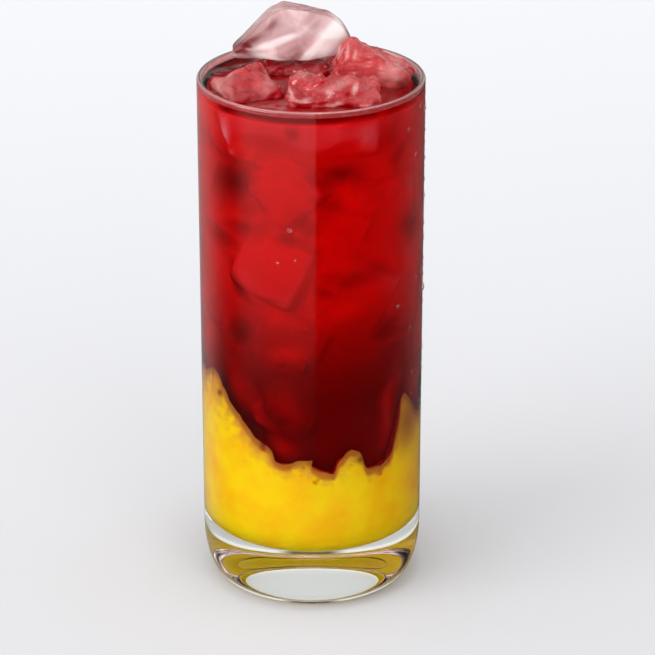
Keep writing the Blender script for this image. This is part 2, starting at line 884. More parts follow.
@dataclass(frozen=True)
class MangoPuree:
    """The mango layer: rounded below like the glass floor, with tongues where it clings to the wall."""

    tumbler: Tumbler
    level: float = 43 * MM
    core_level: float = 39.5 * MM
    core_radius: float = 17 * MM
    core_wave: float = 2.2 * MM
    reach: float = 0.14 * MM  # into the glass, so that no air shows
    recess: float = 0.22 * MM  # how far the top edge stands back from the wall, behind a film of drink
    recess_height: float = 5 * MM
    fringe_height: float = 4 * MM
    fringe_share: float = 0.45  # how much deeper the stain runs on a tongue, as a share of its rise
    fringe_stain: float = 0.9
    top_stain: float = 0.8
    edge_waves: tuple[Waves, ...] = (
        Waves(0.5 * MM, 9 * MM, 11),
        Waves(0.22 * MM, 3.6 * MM, 12),
        Waves(0.12 * MM, 1.6 * MM, 14),
    )
    lean_waves: tuple[Waves, ...] = (Waves(0.7, 6 * MM, 13),)  # in degrees
    pit_depth: float = 0.3 * MM
    pit_waves: tuple[Waves, ...] = (Waves(1.0, 3.4 * MM, 21), Waves(0.5, 1.5 * MM, 22))
    pit_noise: tuple[float, float] = (1.7, 2.4)  # the noise where a pit starts and where it is full
    crown_waves: tuple[Waves, ...] = (Waves(0.35 * MM, 5 * MM, 31),)
    stain_waves: tuple[Waves, ...] = (Waves(0.28, 4.5 * MM, 61), Waves(0.12, 1.5 * MM, 62))
    floor_rows: int = 18
    side_rows: int = 80
    top_rows: int = 34
    columns: int = 480

    def edge(self, turn: np.ndarray) -> tuple[np.ndarray, np.ndarray]:
        """The upper edge at the wall: each tongue adds a Gaussian rise and shifts its tip sideways.

        Args:
            turn: angles from -Y, in radians.

        Returns:
            The height at each angle, and how far the edge there is shifted round, in radians.
        """
        degrees = np.degrees(turn)
        height = np.full_like(degrees, self.level)
        shift = np.zeros_like(degrees)
        for tongue in TONGUES:
            bump = np.exp(-((angle_from(degrees, tongue.angle) / tongue.width) ** 2))
            height += tongue.rise * bump
            shift += tongue.lean * bump**1.5
        ring = at_turn(WALL_RADIUS * MM, turn, 0.0)
        height += layered_noise(ring, self.edge_waves)
        shift += layered_noise(ring, self.lean_waves)
        return height, np.radians(shift)

    def top(self, radius: np.ndarray, turn: np.ndarray, side: float) -> np.ndarray:
        """The top's height: nearly level inside core_radius, then a climb that is steep at the edge.

        Args:
            radius: distances from the axis.
            turn: angles from -Y, in radians.
            side: the distance from the axis where the top meets the edge.

        Returns:
            The height at each place.
        """
        share = np.clip((radius - self.core_radius) / (side - self.core_radius), 0.0, 1.0)
        climb = 0.5 * (share**2 + smooth_step(share, 0.0, 1.0))
        wave = self.core_wave * (radius / side) * np.sin(3 * turn + 0.6) * (1 - climb)
        return self.core_level + wave + (self.edge(turn)[0] - self.core_level) * climb

    def side_rings(self, turn: np.ndarray) -> tuple[np.ndarray, np.ndarray]:
        """Rings up the wall to the edge, which stand back from it near the edge and in scattered pits.

        Args:
            turn: angles of the columns.

        Returns:
            The rings, and how deep each point is below the edge.
        """
        start = self.tumbler.floor_top()
        height, shift = self.edge(turn)
        even = np.linspace(0.0, 1.0, self.side_rows + 1)[1:, None]
        share = 1 - (1 - even) ** 1.25
        level = start + (height - start) * share
        below = height - level
        angle = turn + shift * share**3
        place = at_turn(WALL_RADIUS * MM, angle, level)
        back = self.recess * (1 - smooth_step(below, 0.0, self.recess_height)) ** 1.6
        near = 1 - smooth_step(below, 3 * MM, 7 * MM)
        pits = smooth_step(layered_noise(place, self.pit_waves), *self.pit_noise)
        radius = self.tumbler.inner_radius(level) + self.reach - back - self.pit_depth * pits * near
        return at_turn(radius, angle, level), below

    def build(self) -> bpy.types.Object:
        """Join floor, side and top, mark the fringe, flecks and underside, and dress the piece.

        Returns:
            The piece.
        """
        turn = ring_turns(self.columns)
        floor = self.tumbler.cavity_floor(self.reach, self.floor_rows)
        floor_rings = at_turn(floor[1:, :1], turn[None, :], floor[1:, 1:])
        side, below = self.side_rings(turn[None, :])
        edge, shift = self.edge(turn[None, :])
        inner = self.tumbler.inner_radius(self.level) - self.recess
        share = np.linspace(1.0, 0.0, self.top_rows)[1:-1, None] ** 0.8
        radius = inner * share
        height = self.top(radius, turn[None, :], inner)
        crown = layered_noise(at_turn(radius, turn[None, :], height), self.crown_waves)
        surface = at_turn(radius, turn[None, :] + shift * share**4, height + crown)
        rings = np.concatenate((floor_rings, side, surface))
        middle = float(self.top(np.array([0.0]), np.array([0.0]), inner)[0])
        points, faces = close_rings(rings, (0, 0, floor[0, 1]), (0, 0, middle))
        piece = add_piece("mango_layer", points, faces, MangoPulp().build())
        fringe = np.zeros(len(points))
        first = floor_rings.shape[0] * self.columns
        deep = self.fringe_height + self.fringe_share * (edge - self.level)
        uneven = np.clip(1 + layered_noise(side, self.stain_waves), 0.3, 2.0)
        soft = 1 - smooth_step(below / (deep * uneven), 0.0, 1.0)
        fringe[first : first + below.size] = (soft**1.1 * self.fringe_stain).ravel()
        fringe[first + below.size : -2] = self.top_stain
        angle = point_angles(points)
        paint(piece, "fringe", np.maximum(fringe, strongest(STAINS, angle, points[:, 2])))
        paint(piece, "speck", strongest(FLECKS, angle, points[:, 2]))
        low = self.tumbler.floor_height
        paint(piece, "under", 1 - smooth_step(points[:, 2], low + 0.4 * MM, low + 2.2 * MM))
        return dress(piece, "mango_puree", "mango_puree")


@dataclass(frozen=True)
class RedDrink:
    """The red layer: a clear dyed body from inside the puree's top up to a level with a meniscus."""

    tumbler: Tumbler
    puree: MangoPuree
    level: float
    reach: float = 0.05 * MM
    sink: float = 3.5 * MM  # how far its lower face lies inside the puree, at the axis
    wall_sink: float = 8 * MM  # the same at the wall
    meniscus: float = 0.6 * MM
    meniscus_width: float = 1.3 * MM
    ripple: float = 0.06 * MM
    under_rows: int = 22
    wall_rows: int = 60
    top_rows: int = 40
    columns: int = 240

    def build(self) -> bpy.types.Object:
        """Join the hidden lower face, the wall and the level, and dress the piece.

        Returns:
            The piece.
        """
        turn = ring_turns(self.columns)[None, :]
        side = float(self.tumbler.inner_radius(self.puree.level)) + self.reach
        share = np.linspace(0.0, 1.0, self.under_rows)[1:, None]
        radius = side * share
        drop = self.sink + (self.wall_sink - self.sink) * share**3
        low = np.maximum(self.puree.top(radius, turn, side) - drop, self.tumbler.floor_top() + 1 * MM)
        under = at_turn(radius, turn, low)
        up = np.linspace(0.0, 1.0, self.wall_rows)[1:, None]
        top = self.level + self.meniscus
        heights = low[-1:] + (top - low[-1:]) * up
        wall = at_turn(self.tumbler.inner_radius(heights) + self.reach, turn, heights)
        rim = float(self.tumbler.inner_radius(top)) + self.reach
        inwards = 1 - np.linspace(0.0, 1.0, self.top_rows)[1:-1, None] ** 1.8
        across = rim * inwards
        lift = self.meniscus * np.exp(-(rim - across) / self.meniscus_width)
        ripple = self.ripple * wave_noise(at_turn(across, turn, 0.0), 7 * MM, 41) * (1 - inwards**8)
        surface = at_turn(across, turn, self.level + lift + ripple)
        rings = np.concatenate((under, wall, surface))
        points, faces = close_rings(rings, (0, 0, float(low[0].min())), (0, 0, self.level))
        piece = add_piece("red_fruit_layer", points, faces, FruitDrink().build())
        from_axis, up_to = face_centres(piece)
        at_wall = (from_axis > self.tumbler.inner_radius(up_to) - 0.1 * MM) & (up_to < self.level)
        finish_faces(piece, [FruitDrink().build(wetting=True)], at_wall)
        return dress(piece, "red_drink", "red_drink")


# Ice


def turn_matrix(turn: tuple[float, float, float]) -> np.ndarray:
    """The rotation about X, then Y, then Z, by angles in degrees."""
    return np.array(Euler([math.radians(angle) for angle in turn]).to_matrix())


@dataclass(frozen=True)
class Patch:
    """A patch of red stain or white frost on the ice, a slanted ellipse as seen from the front."""

    x: float
    z: float
    long: float
    short: float
    slant: float  # degrees up from +X, along which it is long
    stain: float = 0.0
    frost: float = 0.0
    edge: float = 2.0  # 1 fades like a Gaussian and more is crisper

    def cover(self, points: np.ndarray) -> np.ndarray:
        """How strongly each point lies in the patch: exp(-((a / long)^2 + (b / short)^2)^edge).

        Args:
            points: the piece's points.

        Returns:
            The share for each point, from 0 to 1.
        """
        slant = math.radians(self.slant)
        across = points[:, 0] - self.x
        up = points[:, 2] - self.z
        along = across * math.cos(slant) + up * math.sin(slant)
        aside = up * math.cos(slant) - across * math.sin(slant)
        return np.exp(-(((along / self.long) ** 2 + (aside / self.short) ** 2) ** self.edge))


@dataclass(frozen=True)
class IceBlock:
    """A melted cube: a box with round edges, uneven faces and, where given, a crest along its top."""

    centre: tuple[float, float, float]
    size: tuple[float, float, float]
    turn: tuple[float, float, float]  # about X, Y and Z in degrees
    corner: float = 3.2 * MM
    crest: tuple[tuple[float, float], ...] = ()  # places along X and how much the top is raised there
    facets: tuple[tuple[float, float], ...] = ()  # places along X and how far the front stands back
    taper: float = 0.0  # how much narrower the block is at its top, as a share
    patches: tuple[Patch, ...] = ()
    melt: float = 0.3 * MM
    melt_size: float = 11 * MM
    dent: float = 0.22 * MM
    cuts: int = 40
    seed: int = 1

    def skin(self) -> tuple[np.ndarray, list]:
        """The block's points and faces.

        Each face is a grid of u and v. A point is the nearest point of the box less its corner radius,
        plus one corner radius towards the grid point. Noise then moves it along the way out, and the crest
        lifts it.

        Returns:
            The points in the row frame, and the faces.
        """
        half = 0.5 * np.array(self.size)
        corner = min(self.corner, float(half.min()) * 0.98)
        bend = 0.92 * 0.5 * np.pi  # crowds the grid's lines towards the block's edges
        line = np.sin(np.linspace(-bend, bend, self.cuts)) / np.sin(bend)
        u, v = np.meshgrid(line, line, indexing="ij")
        grids = []
        for axis in range(3):
            for sign in (-1.0, 1.0):
                parts = [u, v] if sign > 0 else [v, u]
                parts.insert(axis, np.full_like(u, sign))
                grids.append(np.stack(parts, axis=-1))
        outer = np.stack(grids) * half
        inner = np.clip(outer, corner - half, half - corner)
        away = outer - inner
        away /= np.linalg.norm(away, axis=-1, keepdims=True)
        points = inner + away * corner
        shift = np.array(self.centre)
        coarse = Waves(self.melt, self.melt_size, self.seed)
        fine = Waves(self.dent, 0.3 * self.melt_size, self.seed + 1)
        swell = layered_noise(points + shift, (coarse, fine))
        points = points + away * (swell - self.melt)[..., None]
        points = self.lift(points, half[2])
        points = points @ turn_matrix(self.turn).T + shift
        index = np.arange(points[..., 0].size).reshape(points.shape[:3])
        quads = np.stack(
            (index[:, :-1, :-1], index[:, 1:, :-1], index[:, 1:, 1:], index[:, :-1, 1:]), axis=-1
        )
        return points.reshape(-1, 3), quads.reshape(-1, 4).tolist()

    def lift(self, points: np.ndarray, half_height: float) -> np.ndarray:
        """Cut the front into facets, raise the top to the crest at each X, and narrow it upwards.

        Args:
            points: the block's points about its own middle.
            half_height: half of its height.

        Returns:
            The moved points.
        """
        if not self.crest:
            return points
        if self.facets:
            places, backs = np.array(self.facets).T
            front = np.clip(-points[..., 1] / (0.5 * self.size[1]), 0.0, 1.0)
            points = points.copy()
            points[..., 1] += front * np.interp(points[..., 0], places, backs)
        share = np.clip(0.5 + 0.5 * points[..., 2] / half_height, 0.0, None)
        places, lifts = np.array(self.crest).T
        around = np.array((-0.6, -0.2, 0.2, 0.6)) * MM  # averaging the crest here rounds its corners
        smooth = np.mean([np.interp(points[..., 0] + step, places, lifts) for step in around], axis=0)
        lifted = points.copy()
        lifted[..., 2] += smooth * share
        lifted[..., 1] *= 1 - self.taper * share
        return lifted


@dataclass(frozen=True)
class IceHeap:
    """The five pieces of ice that show above the drink."""

    def floating(self) -> dict[str, tuple[IceBlock, Clarity]]:
        """The pieces that stick out.

        Returns:
            Each CAD node's name to its block and to how the ice looks.
        """
        crest = (
            (-0.0170, -0.0056),
            (-0.0150, -0.0036),
            (-0.0120, -0.0004),
            (-0.0098, 0.0018),
            (-0.0066, 0.0052),
            (-0.0022, 0.0078),
            (0.0105, 0.0046),
            (0.0140, 0.0018),
            (0.0170, -0.0030),
        )
        facets = ((-0.0170, 0.0050), (-0.0060, 0.0), (0.0040, 0.0002), (0.0170, 0.0045))
        patches = (
            Patch(-0.0153, 0.1598, 0.0082, 0.0024, 37, stain=0.5, edge=1.3),
            Patch(-0.0108, 0.1640, 0.0022, 0.0011, 42, stain=0.5, edge=1.2),
            Patch(-0.0168, 0.1588, 0.0042, 0.0010, 30, stain=0.45, edge=1.2),
            Patch(-0.0206, 0.1560, 0.0022, 0.0018, -30, stain=1.0),
            Patch(-0.0181, 0.1571, 0.0016, 0.0007, -10, stain=0.7),
            Patch(-0.0165, 0.1547, 0.0035, 0.0009, -15, stain=0.65),
            Patch(-0.0092, 0.1590, 0.0064, 0.0011, 20, frost=0.85),
            Patch(-0.0115, 0.1537, 0.0052, 0.0013, -12, frost=0.65),
            Patch(-0.0049, 0.1560, 0.0045, 0.0015, 27, stain=0.36),
            Patch(-0.0040, 0.1545, 0.0024, 0.0012, 30, stain=0.4),
            Patch(0.0060, 0.1598, 0.0080, 0.0031, 50, frost=0.85, edge=3.0),
            Patch(-0.0003, 0.1554, 0.0056, 0.0013, 47, frost=0.8, edge=3.0),
            Patch(-0.0006, 0.1606, 0.0052, 0.0015, 50, stain=0.2),
        )
        top = IceBlock(
            (-0.0055, 0.0142, 0.1570),
            (0.0335, 0.0130, 0.0076),
            (0, 0, 2),
            corner=1.6 * MM,
            crest=crest,
            facets=facets,
            taper=0.3,
            patches=patches,
            melt=0.12 * MM,
            dent=0.03 * MM,
            seed=5,
            cuts=60,
        )
        return {
            "ice_top": (top, Clarity.CLOUDY),
            "ice_left": (
                IceBlock(
                    (-0.0174, -0.0046, 0.1435),
                    (0.0170, 0.0185, 0.0190),
                    (12, -8, 25),
                    patches=(
                        Patch(-0.0262, 0.1490, 0.0034, 0.0022, 80, frost=1.0),
                        Patch(-0.0230, 0.1515, 0.0030, 0.0015, 80, frost=0.35, edge=1.2),
                        Patch(-0.0111, 0.1534, 0.0032, 0.0013, 60, frost=0.5, edge=1.2),
                        Patch(-0.0156, 0.1492, 0.0050, 0.0016, 10, stain=0.3, edge=1.2),
                    ),
                    seed=15,
                    cuts=56,
                ),
                Clarity.WET,
            ),
            "ice_front": (
                IceBlock(
                    (0.0064, -0.0113, 0.1459),
                    (0.0250, 0.0134, 0.0165),
                    (24, 1, -1),
                    corner=2.2 * MM,
                    patches=(
                        Patch(-0.0017, 0.1569, 0.0048, 0.0029, -5, frost=0.4),
                        Patch(-0.0017, 0.1569, 0.0038, 0.0020, -5, stain=0.62),
                        Patch(-0.0029, 0.1510, 0.0030, 0.0005, -4, frost=1.0),
                        Patch(-0.0055, 0.1523, 0.0014, 0.0006, -40, frost=1.0),
                        Patch(0.0035, 0.1576, 0.0017, 0.0015, 0, stain=1.0),
                        Patch(0.0063, 0.1562, 0.0026, 0.0012, 0, stain=0.45),
                        Patch(0.0078, 0.1538, 0.0044, 0.0009, 12, frost=0.55),
                        Patch(0.0063, 0.1501, 0.0022, 0.0005, 5, frost=1.0),
                        Patch(0.0050, 0.1524, 0.0010, 0.0006, 0, frost=1.0),
                        Patch(0.0122, 0.1531, 0.0014, 0.0008, 60, frost=1.0),
                        Patch(0.0167, 0.1501, 0.0016, 0.0005, 0, frost=1.0),
                        Patch(0.0163, 0.1560, 0.0028, 0.0042, 0, frost=0.25, edge=1.2),
                    ),
                    dent=0.34 * MM,
                    seed=25,
                    cuts=64,
                ),
                Clarity.WET,
            ),
            "ice_right": (
                IceBlock(
                    (0.0165, 0.0027, 0.1505),
                    (0.0215, 0.0120, 0.0160),
                    (2, 27, -4),
                    patches=(
                        Patch(0.0165, 0.1560, 0.0120, 0.0070, -25, frost=0.16),
                        Patch(0.0220, 0.1534, 0.0036, 0.0029, 0, frost=0.6),
                        Patch(0.0078, 0.1590, 0.0020, 0.0006, 80, frost=1.0),
                        Patch(0.0101, 0.1588, 0.0018, 0.0005, 80, frost=0.9),
                        Patch(0.0122, 0.1586, 0.0015, 0.0005, 80, frost=0.8),
                        Patch(0.0262, 0.1508, 0.0032, 0.0022, -30, stain=0.5),
                    ),
                    seed=35,
                    cuts=56,
                ),
                Clarity.WET,
            ),
            "ice_back": (
                IceBlock((-0.0040, 0.0138, 0.1425), (0.0200, 0.0135, 0.0190), (-3, 2, 8), seed=45),
                Clarity.WET,
            ),
        }

    def build(self) -> list[bpy.types.Object]:
        """Make every piece and dress it.

        Returns:
            The pieces.
        """
        finishes = {clarity: ICE_FINISHES[clarity].build() for clarity in Clarity}
        pieces = []
        for node, (block, clarity) in self.floating().items():
            piece = add_piece(f"melting_{node}", *block.skin(), finishes[clarity])
            point_out(piece.data, weld=0.001 * MM)
            points = np.empty(3 * len(piece.data.vertices))
            piece.data.vertices.foreach_get("co", points)
            points = points.reshape(-1, 3)
            for mark in ("stain", "frost"):
                cover = np.zeros(len(points))
                for patch in block.patches:
                    cover += getattr(patch, mark) * patch.cover(points)
                paint(piece, mark, np.clip(cover, 0.0, 1.0))
            pieces.append(dress(piece, node, node))
        return pieces


@dataclass(frozen=True)
class SunkenCube:
    """A cube under the drink: its middle's angle, distance from the axis and height, its size and turn."""

    angle: float  # angles are in degrees and lengths in mm
    radius: float
    height: float
    size: float
    turn: tuple[float, float, float]


SUNKEN_CUBES = (
    SunkenCube(-13.5, 19.6, 127.5, 16, (4, 45, -13)),
    SunkenCube(-25, 17.6, 103.5, 20, (-8, 22, -24)),
    SunkenCube(22.4, 17.2, 147.0, 19, (0, 0, 12)),
    SunkenCube(33, 17.0, 96.5, 19, (12, 30, 30)),
    SunkenCube(16, 16.5, 116.0, 17, (20, 20, 16)),
    SunkenCube(-12, 17.0, 82.5, 17, (10, 25, -10)),
    SunkenCube(-14, 14.0, 60.5, 19, (10, 35, 12)),
    SunkenCube(-40, 16.0, 141.5, 17, (4, 10, 30)),
    SunkenCube(55, 16.5, 122.5, 19, (0, 20, -50)),
    SunkenCube(-62, 16.5, 118.5, 18, (15, 10, 60)),
    SunkenCube(66, 15.5, 76.5, 18, (5, 30, -60)),
    SunkenCube(-64, 15.0, 86.5, 18, (30, 10, 60)),
)


# The dark between the cubes
DARK_MARKS = (
    WallMark(-53, 127, 9, 7.5, 0, 0.92),
    WallMark(-40, 121, 7, 4.5, 20, 0.45),
    WallMark(-44, 114.5, 9, 3.0, 8, 0.62),
    WallMark(-60, 110, 6, 4, 0, 0.6),
    WallMark(-22, 141, 9, 6, 0, 0.2),
    WallMark(-10, 145.2, 2.4, 2.4, 0, 0.5),
    WallMark(-13, 113.5, 5, 2.0, -10, 0.5),
    WallMark(-4, 118, 5.5, 4.5, -45, 0.45),
    WallMark(9, 124, 5, 5, 0, 0.4),
    WallMark(19.5, 131.6, 8.5, 3.4, 0, 0.8),
    WallMark(47, 143, 4.5, 6.5, 0, 0.4),
    WallMark(70, 111.5, 6, 6, 0, 0.75),
    WallMark(58, 134, 4, 5, 0, 0.4),
    WallMark(18, 108, 12, 8, 0, 0.18),
    WallMark(24, 101, 12, 4.0, 5, 0.55),
    WallMark(8.5, 97.4, 4.0, 2.2, 0, 0.6),
    WallMark(48, 82, 14, 7.5, 15, 0.85),
    WallMark(-46, 97.5, 9, 3.0, -42, 0.85),
    WallMark(-46, 82, 9, 8.5, 0, 0.95),
    WallMark(-58, 74, 8, 6, 0, 0.6),
    WallMark(-21, 95.0, 7, 1.8, -8, 0.4),
    WallMark(-27, 72, 6, 2.2, -15, 0.6),
    WallMark(120, 120, 8, 8, 0, 0.5),
    WallMark(165, 95, 8, 8, 20, 0.5),
    WallMark(-140, 128, 8, 7, -20, 0.5),
    WallMark(-105, 100, 7, 8, 0, 0.5),
)

# Where a cube catches the light
LIGHT_MARKS = (
    WallMark(20, 115, 6, 5, 0, 0.4),
    WallMark(58, 98, 7.5, 3.5, 80, 0.9),
    WallMark(21, 93, 11, 3.2, 15, 0.75),
    WallMark(54, 126, 6, 3, 70, 0.7),
    WallMark(-18, 89.5, 8, 3, -12, 0.55),
    WallMark(-15, 78.5, 7, 3.6, 12, 0.55),
    WallMark(-17, 63, 7, 5, -35, 0.3),
    WallMark(-38, 62, 12, 3.5, -52, 0.35),
    WallMark(-20, 50, 6, 3, -20, 0.4),
    WallMark(55, 57, 10, 4, 75, 0.6),
    WallMark(-84, 85, 6, 30, 0, 0.65),
    WallMark(84, 85, 6, 30, 0, 0.65),
    WallMark(150, 110, 8, 5, 30, 0.5),
    WallMark(-120, 80, 8, 5, -30, 0.5),
)

# Where a cube is pressed against the wall, so that it shows pale
PRESSED_MARKS = (
    WallMark(-50, 142.2, 7.5, 3.2, -68, 0.97),
    WallMark(-46, 137.0, 3.4, 2.8, 0, 0.92),
    WallMark(-62, 139, 3.5, 5, 0, 0.7),
    WallMark(29.5, 143.8, 6.0, 7.0, 0, 0.8),
    WallMark(57, 98, 6, 2.6, 80, 0.4),
    WallMark(53, 126.5, 4.5, 1.8, 70, 0.4),
    WallMark(78, 112, 7, 50, 0, 0.55),
    WallMark(-18, 76.3, 1.0, 1.0, 0, 0.75),
    WallMark(-5.2, 75.3, 1.6, 2.2, 0, 0.6),
    WallMark(-1.4, 87, 1.1, 1.1, 0, 0.6),
    WallMark(-1.8, 56.6, 3.0, 1.6, 60, 0.75),
    WallMark(-22, 59.5, 4, 0.8, -38, 0.6),
    WallMark(-13.4, 54, 4, 1.5, 0, 0.5),
)


@dataclass(frozen=True)
class SunkenIce:
    """The ice under the drink as one heap, which shows through the dye as lighter and darker red patches.

    The heap is star shaped about the glass's axis. Its radius at each angle and height is where a level
    ray from the axis leaves the last cube that it crosses, or a wavy core's radius where that is more.
    The cubes' edges are then softened, as the dye softens them to the eye.
    """

    tumbler: Tumbler
    puree: MangoPuree
    level: float
    film: float = 1.1 * MM  # the least drink between ice and glass
    pressed_film: float = 0.25 * MM  # the same where a cube is pressed against the wall
    gloom: tuple[float, float] = (62 * MM, 112 * MM)  # the heights where the dusk is full and gone
    core: float = 24.8 * MM
    core_waves: tuple[Waves, ...] = (Waves(1.0 * MM, 17 * MM, 51),)
    crowd: float = 4.2 * MM  # near the top the ice crowds out to the wall
    crowd_depth: float = 17 * MM
    start: float = 6 * MM  # how far under the puree's level it begins, hidden in the puree
    cover: float = 1.3 * MM  # the drink over its top
    hidden_cubes: int = 11
    soft_passes: int = 4
    columns: int = 300
    rows: int = 170

    def cubes(self) -> list[SunkenCube]:
        """The cubes seen from the front, and others at random round the back.

        Returns:
            All the cubes.
        """
        rng = np.random.default_rng(7)
        hidden = [
            SunkenCube(
                angle=100 + 160 * rng.random(),
                radius=rng.uniform(14.5, 17.5),
                height=64.5 + 78 * (number + 0.5) / self.hidden_cubes,
                size=rng.uniform(17, 20),
                turn=tuple(rng.uniform(-40, 40, size=3)),
            )
            for number in range(self.hidden_cubes)
        ]
        return [*SUNKEN_CUBES, *hidden]

    def reach(self, turn: np.ndarray, height: np.ndarray) -> np.ndarray:
        """How far the heap comes out along each level ray, by the slab test on every cube.

        Args:
            turn: the rays' angles from -Y.
            height: the rays' heights.

        Returns:
            The heap's radius for each ray.
        """
        direction, origin = np.broadcast_arrays(at_turn(1.0, turn, 0.0), at_turn(0.0, turn, height))
        crowd = smooth_step(height, self.level - self.crowd_depth, self.level - 4 * MM)
        near_core = origin + direction * (20 * MM)
        best = self.core + self.crowd * crowd + layered_noise(near_core, self.core_waves)
        for cube in self.cubes():
            centre = at_turn(cube.radius * MM, math.radians(cube.angle), cube.height * MM)
            axes = turn_matrix(cube.turn)
            start = (origin - centre) @ axes
            way = direction @ axes
            way = np.where(np.abs(way) < 1e-9, 1e-9, way)
            half = 0.5 * cube.size * MM
            near = ((-half - start) / way, (half - start) / way)
            enter = np.minimum(*near).max(axis=-1)
            leave = np.maximum(*near).min(axis=-1)
            best = np.where((leave > enter) & (leave > 0), np.maximum(best, leave), best)
        return best

    def soften(self, radius: np.ndarray) -> np.ndarray:
        """Blur by the weights 1, 2, 1 round the glass and up it, several times.

        Args:
            radius: the heap's radius, in rows up the glass and columns round it.

        Returns:
            The blurred radius.
        """
        for _ in range(self.soft_passes):
            radius = 0.25 * (np.roll(radius, 1, axis=1) + 2 * radius + np.roll(radius, -1, axis=1))
            padded = np.pad(radius, ((1, 1), (0, 0)), mode="edge")
            radius = 0.25 * (padded[:-2] + 2 * radius + padded[2:])
        return radius

    def build(self) -> bpy.types.Object:
        """Make the heap, from inside the puree to just under the drink's level, and dress it.

        Returns:
            The piece.
        """
        turn = ring_turns(self.columns)[None, :]
        low = self.puree.level - self.start
        high = self.level - self.cover
        height = np.linspace(low, high, self.rows)[:, None]
        side = self.tumbler.inner_radius(height)
        radius = np.minimum(self.reach(turn, height), side - self.film)
        radius = self.soften(radius)
        radius += strongest(PRESSED_MARKS, turn, height) * (side - self.pressed_film - radius)
        closing = np.sqrt(np.clip((high - height) / (1 * MM), 0.0, 1.0))
        radius = radius * (0.98 + 0.02 * closing)  # rounds the upper edge
        rings = at_turn(radius, turn, np.broadcast_to(height, radius.shape))
        points, faces = close_rings(rings, (0, 0, low), (0, 0, high))
        piece = add_piece("sunken_ice", points, faces, SunkenFinish().build())
        low_gloom = 1 - smooth_step(points[:, 2], *self.gloom)
        top_gloom = 0.8 * smooth_step(points[:, 2], high - 0.7 * MM, high - 0.3 * MM)
        angle = point_angles(points)
        gloom = np.maximum.reduce([low_gloom, top_gloom, strongest(DARK_MARKS, angle, points[:, 2])])
        paint(piece, "gloom", gloom * (1 - strongest(LIGHT_MARKS, angle, points[:, 2])))
        return dress(piece, "red_drink")


# Beads of water


def beads(
    centres: np.ndarray, radii: np.ndarray, outward: np.ndarray, flat: float
) -> tuple[np.ndarray, list]:
    """Many small balls as one mesh, each pressed flat along its own way out.

    Args:
        centres: one point for each ball.
        radii: one radius for each.
        outward: one level unit vector for each, its short axis.
        flat: its thickness over its width.

    Returns:
        The points and the faces.
    """
    rows, columns = 6, 10
    lift = np.pi * (np.arange(1, rows + 1) / (rows + 1) - 0.5)[:, None]
    turn = ring_turns(columns)
    sides = (np.cos(lift) * np.cos(turn), np.cos(lift) * np.sin(turn), np.sin(lift))
    ball = np.stack(np.broadcast_arrays(*sides), axis=-1)
    unit, faces = close_rings(ball, (0, 0, -1), (0, 0, 1))
    side = np.cross((0.0, 0.0, 1.0), outward)
    side /= np.linalg.norm(side, axis=1, keepdims=True)
    along = np.cross(outward, side)
    axes = np.stack((side, along, outward * flat), axis=1)
    points = centres[:, None, :] + radii[:, None, None] * (unit[None] @ axes)
    starts = range(0, len(unit) * len(centres), len(unit))
    every = [[start + corner for corner in face] for start in starts for face in faces]
    return points.reshape(-1, 3), every


@dataclass(frozen=True)
class WallDew:
    """Condensation on the outside of the wall, thickest on the right and sparse in front."""

    tumbler: Tumbler
    count: int = 380
    smallest: float = 0.22 * MM
    largest: float = 0.8 * MM
    flat: float = 0.45  # a bead's thickness over its width
    middle: float = 96.0  # the angle where most of them sit, and their spread about it, in degrees
    spread: float = 15.0
    strays: float = 0.03  # the share that sits anywhere round the wall
    lowest: float = 0.35  # how far up the tumbler they start and end, as a share of its height
    highest: float = 0.97
    placed: tuple[tuple[float, float, float], ...] = (  # angle, height and size of single beads
        (-16.8, 107.8 * MM, 0.42 * MM),
        (-8.0, 109.0 * MM, 0.38 * MM),
        (86.0, 89.3 * MM, 1.1 * MM),
    )

    def build(self) -> bpy.types.Object:
        """Scatter the beads and dress them.

        Returns:
            The piece.
        """
        rng = np.random.default_rng(3)
        turn = np.radians(rng.normal(self.middle, self.spread, size=self.count))
        scattered = rng.random(self.count) < self.strays
        turn = np.where(scattered, rng.uniform(-np.pi, np.pi, self.count), turn)
        share_up = self.lowest + (self.highest - self.lowest) * rng.random(self.count)
        height = share_up * self.tumbler.height
        size = self.smallest + (self.largest - self.smallest) * rng.random(self.count) ** 4
        angles, heights, sizes = np.array(self.placed).T
        turn = np.concatenate((turn, np.radians(angles)))
        height = np.concatenate((height, heights))
        size = np.concatenate((size, sizes))
        centres = at_turn(self.tumbler.outer_radius(height), turn, height)
        outward = at_turn(1.0, turn, 0.0)
        points, faces = beads(centres, size, outward, self.flat)
        piece = add_piece("wall_dew", points, faces, Dew().build())
        return dress(piece, "glass_tumbler")


# The studio


@dataclass(frozen=True)
class StudioLight:
    """A square light: its side in metres, power in watts, place and turn about X and Z in degrees."""

    name: str
    side: float
    power: float
    place: tuple[float, float, float]
    turn: tuple[float, float] = (0.0, 0.0)
    mirrored: bool = True

    def hang(self) -> None:
        """Hang the light."""
        data = bpy.data.lights.new(self.name, "AREA")
        data.shape = "SQUARE"
        data.size = self.side
        data.energy = self.power
        light = bpy.data.objects.new(self.name, data)
        light.location = self.place
        light.rotation_euler = (math.radians(self.turn[0]), 0.0, math.radians(self.turn[1]))
        light.visible_glossy = self.mirrored
        bpy.context.scene.collection.objects.link(light)


def turn_towards(place: tuple[float, ...], aim: tuple[float, ...]) -> tuple[float, float]:
    """The turn about X and Z, in degrees, that lets a light at one place shine at another."""
    across, along, up = np.array(aim) - np.array(place)
    tilt = math.atan2(math.hypot(across, along), -up)
    swing = math.atan2(along, across) - 0.5 * math.pi
    return math.degrees(tilt), math.degrees(swing)


